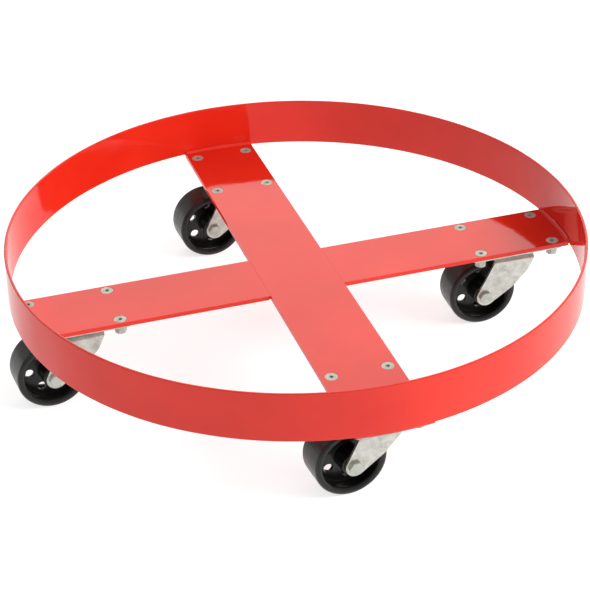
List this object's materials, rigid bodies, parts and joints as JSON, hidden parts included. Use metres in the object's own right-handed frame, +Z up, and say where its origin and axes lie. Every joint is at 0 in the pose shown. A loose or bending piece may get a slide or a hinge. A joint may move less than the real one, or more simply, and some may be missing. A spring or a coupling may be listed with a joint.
{
  "type": "drum dolly",
  "caption": "Round open-frame drum dolly: a flat steel band around a flat-bar cross, rolling on swivel plate casters with trailing wheels.",
  "frame": {"origin": "on the floor, below the centre of the band", "axes": "+X along the right side arm, +Y along the long bar towards the back, +Z up"},
  "size_m": [0.6173, 0.6096, 0.1513],
  "materials": {
    "red_paint": "gloss red powder coat over steel",
    "zinc_plate": "bright zinc plating on stamped steel",
    "zinc_fasteners": "zinc plated fasteners",
    "ball_steel": "polished bearing steel",
    "black_wheel": "glossy moulded black hard rubber"
  },
  "bodies": {
    "frame": {"ring_band": "red_paint", "ring_seam_weld": "red_paint", "long_cross_bar": "red_paint", "left_cross_arm": "red_paint", "right_cross_arm": "red_paint", "hub_welds": "red_paint", "ring_welds": "red_paint", "mounting_screws": "zinc_fasteners", "lock_washers": "zinc_fasteners", "mounting_nuts": "zinc_fasteners", "front_top_plate": "zinc_plate", "front_kingpin": "zinc_fasteners", "front_lower_race": "zinc_plate", "left_top_plate": "zinc_plate", "left_kingpin": "zinc_fasteners", "left_lower_race": "zinc_plate", "back_top_plate": "zinc_plate", "back_kingpin": "zinc_fasteners", "back_lower_race": "zinc_plate", "right_top_plate": "zinc_plate", "right_kingpin": "zinc_fasteners", "right_lower_race": "zinc_plate"},
    "front_swivel": {"front_fork": "zinc_plate", "front_upper_balls": "ball_steel", "front_lower_balls": "ball_steel", "front_axle_bolt": "zinc_fasteners", "front_axle_nut": "zinc_fasteners", "front_axle_sleeve": "ball_steel"},
    "front_roller": {"front_wheel": "black_wheel", "front_wheel_bushing": "ball_steel"},
    "left_swivel": {"left_fork": "zinc_plate", "left_upper_balls": "ball_steel", "left_lower_balls": "ball_steel", "left_axle_bolt": "zinc_fasteners", "left_axle_nut": "zinc_fasteners", "left_axle_sleeve": "ball_steel"},
    "left_roller": {"left_wheel": "black_wheel", "left_wheel_bushing": "ball_steel"},
    "back_swivel": {"back_fork": "zinc_plate", "back_upper_balls": "ball_steel", "back_lower_balls": "ball_steel", "back_axle_bolt": "zinc_fasteners", "back_axle_nut": "zinc_fasteners", "back_axle_sleeve": "ball_steel"},
    "back_roller": {"back_wheel": "black_wheel", "back_wheel_bushing": "ball_steel"},
    "right_swivel": {"right_fork": "zinc_plate", "right_upper_balls": "ball_steel", "right_lower_balls": "ball_steel", "right_axle_bolt": "zinc_fasteners", "right_axle_nut": "zinc_fasteners", "right_axle_sleeve": "ball_steel"},
    "right_roller": {"right_wheel": "black_wheel", "right_wheel_bushing": "ball_steel"}
  },
  "joints": [
    {"name": "front_caster_swivel", "type": "hinge", "parent": "frame", "child": "front_swivel", "pos_m": [0, -0.242, 0.0866], "axis": [0, 0, 1], "continuous": true},
    {"name": "front_wheel_spin", "type": "hinge", "parent": "front_swivel", "child": "front_roller", "pos_m": [-0.03138, -0.24474, 0.0381], "axis": [0.0872, -0.9962, 0], "continuous": true},
    {"name": "left_caster_swivel", "type": "hinge", "parent": "frame", "child": "left_swivel", "pos_m": [-0.242, 0, 0.0866], "axis": [0, 0, 1], "continuous": true},
    {"name": "left_wheel_spin", "type": "hinge", "parent": "left_swivel", "child": "left_roller", "pos_m": [-0.27341, -0.00242, 0.0381], "axis": [0.0767, -0.9971, 0], "continuous": true},
    {"name": "back_caster_swivel", "type": "hinge", "parent": "frame", "child": "back_swivel", "pos_m": [0, 0.242, 0.0866], "axis": [0, 0, 1], "continuous": true},
    {"name": "back_wheel_spin", "type": "hinge", "parent": "back_swivel", "child": "back_roller", "pos_m": [-0.03147, 0.24063, 0.0381], "axis": [0.0436, -0.999, 0], "continuous": true},
    {"name": "right_caster_swivel", "type": "hinge", "parent": "frame", "child": "right_swivel", "pos_m": [0.242, 0, 0.0866], "axis": [0, 0, 1], "continuous": true},
    {"name": "right_wheel_spin", "type": "hinge", "parent": "right_swivel", "child": "right_roller", "pos_m": [0.21051, 0.00066, 0.0381], "axis": [-0.0209, -0.9998, 0], "continuous": true}
  ]
}
